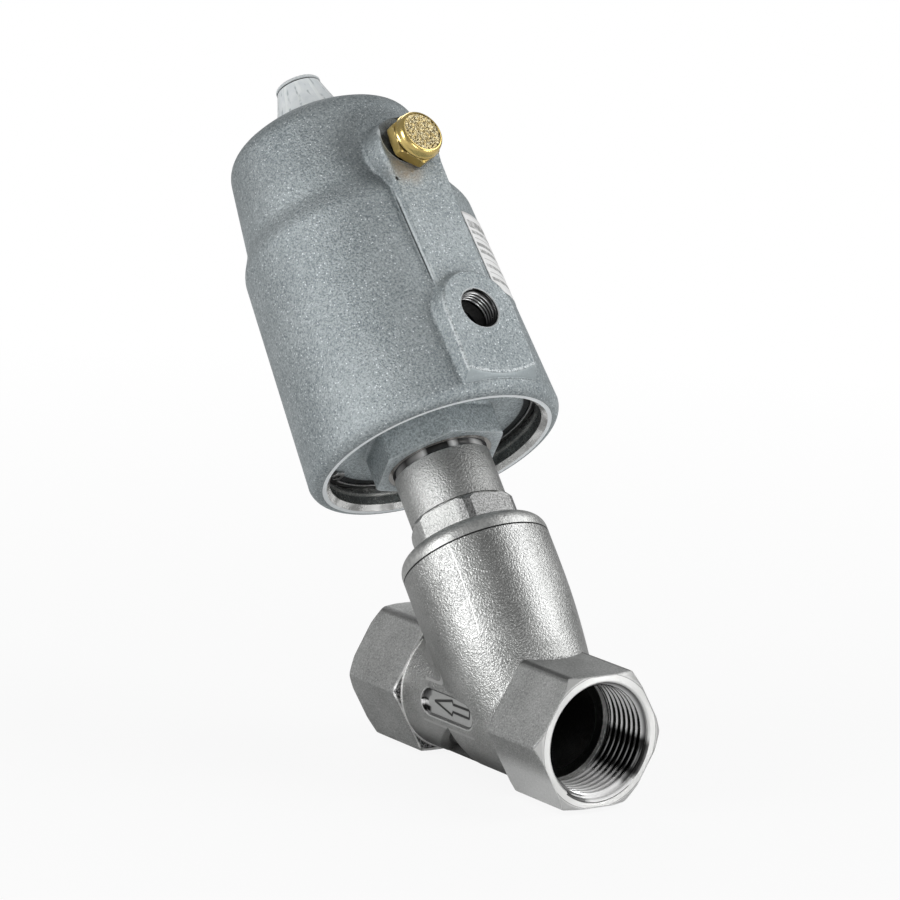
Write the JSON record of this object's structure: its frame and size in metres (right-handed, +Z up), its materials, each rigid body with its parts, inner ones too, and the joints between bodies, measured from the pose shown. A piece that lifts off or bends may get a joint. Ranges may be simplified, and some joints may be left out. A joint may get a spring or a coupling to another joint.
{
  "type": "pneumatic shut-off valve",
  "caption": "Angle-seat shut-off valve with hexagon threaded ends and a sloping spring-return piston actuator, position indicator and exhaust silencer.",
  "frame": {"origin": "centre of the inlet port's sealing face", "axes": "+X along the line from the inlet to the outlet, +Z up, the actuator leaning towards +X in the XZ plane"},
  "size_m": [0.1371, 0.0604, 0.1453],
  "materials": {
    "cast_stainless": "bead-blasted casting",
    "turned_stainless": "turned",
    "spring_steel": "drawn wire",
    "bearing_brass": "turned",
    "sintered_bronze": "sintered",
    "piston_metal": "turned",
    "seal_plastic": "matt",
    "seal_rubber": "matt",
    "clear_plastic": "clear moulding",
    "indicator_plastic": "moulded",
    "label_film": "printed film"
  },
  "bodies": {
    "valve": {"valve_body": "cast_stainless", "bonnet": "turned_stainless", "bonnet_gasket": "seal_plastic", "stem_wiper": "seal_plastic", "packing_spring": "spring_steel", "packing_washer": "turned_stainless", "packing_rings": "seal_plastic", "gland_bush": "bearing_brass", "stem_seal": "seal_rubber", "cylinder_cover": "cast_stainless", "cover_o_ring": "seal_rubber", "neck_seal": "seal_rubber"},
    "actuator": {"actuator_housing": "cast_stainless", "snap_ring": "spring_steel", "silencer_body": "bearing_brass", "silencer_disc": "sintered_bronze", "indicator_dome": "clear_plastic", "dome_o_ring": "seal_rubber", "rating_label": "label_film", "main_spring": "spring_steel"},
    "stem": {"stem": "turned_stainless", "valve_plug": "turned_stainless", "seat_seal": "seal_plastic", "seal_washer": "turned_stainless", "plug_nut": "turned_stainless", "piston": "piston_metal", "piston_seal": "seal_rubber", "piston_guide_ring": "seal_plastic", "piston_nut": "turned_stainless", "indicator_pin": "indicator_plastic"}
  },
  "joints": [
    {"name": "housing_swivel", "type": "hinge", "parent": "valve", "child": "actuator", "pos_m": [0.0241, 0, 0], "axis": [0.6428, 0, 0.766], "continuous": true},
    {"name": "stem_lift", "type": "slide", "parent": "valve", "child": "stem", "axis": [0.6428, 0, 0.766], "range_m": [0, 0.012], "stiffness_N_per_m": 3000, "springref_m": -0.015, "deforming": ["main_spring"]}
  ]
}
